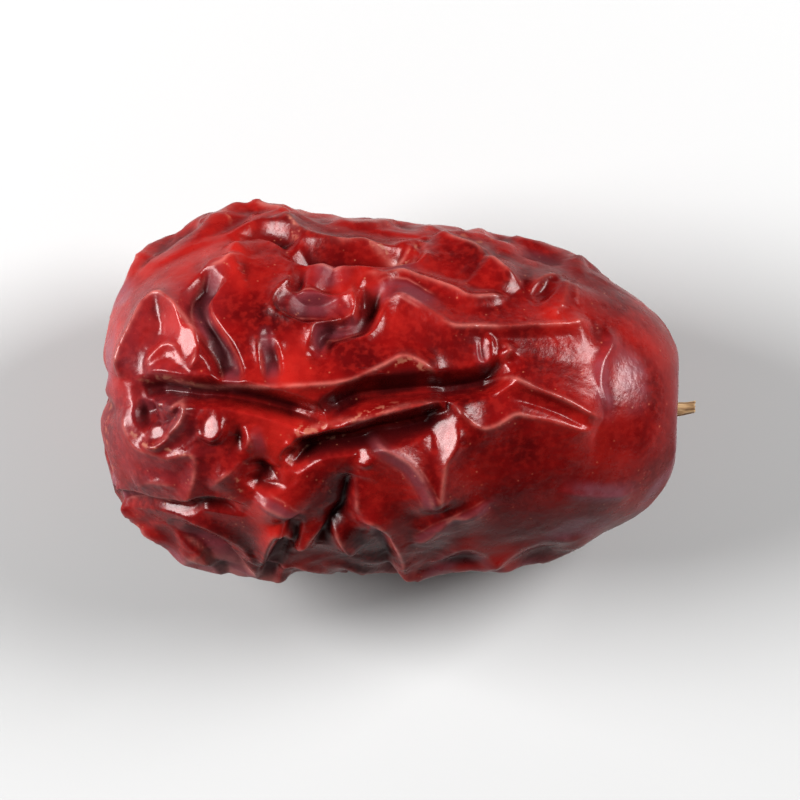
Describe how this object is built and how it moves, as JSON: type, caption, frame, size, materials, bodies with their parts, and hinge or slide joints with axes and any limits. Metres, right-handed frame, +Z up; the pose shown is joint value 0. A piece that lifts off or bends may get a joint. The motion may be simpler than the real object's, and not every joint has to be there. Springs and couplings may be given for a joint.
{
  "type": "dried jujube",
  "caption": "Dried jujube lying on its side: a glossy, deeply wrinkled barrel-shaped fruit with a smooth stem end, a pit in each end and a short stalk stub.",
  "frame": {"origin": "on the resting surface, below the middle of the whole object", "axes": "+X along the fruit's long axis towards the stem end, +Z up from the resting surface through the side that the picture shows"},
  "size_m": [0.0484, 0.0304, 0.0259],
  "materials": {
    "skin": "glossy dried fruit skin, dark red, paler along the crests of the folds",
    "stalk": "dry, dull and fibrous"
  },
  "bodies": {
    "root": {"fruit": "skin", "stem_stub": "stalk"}
  },
  "joints": []
}
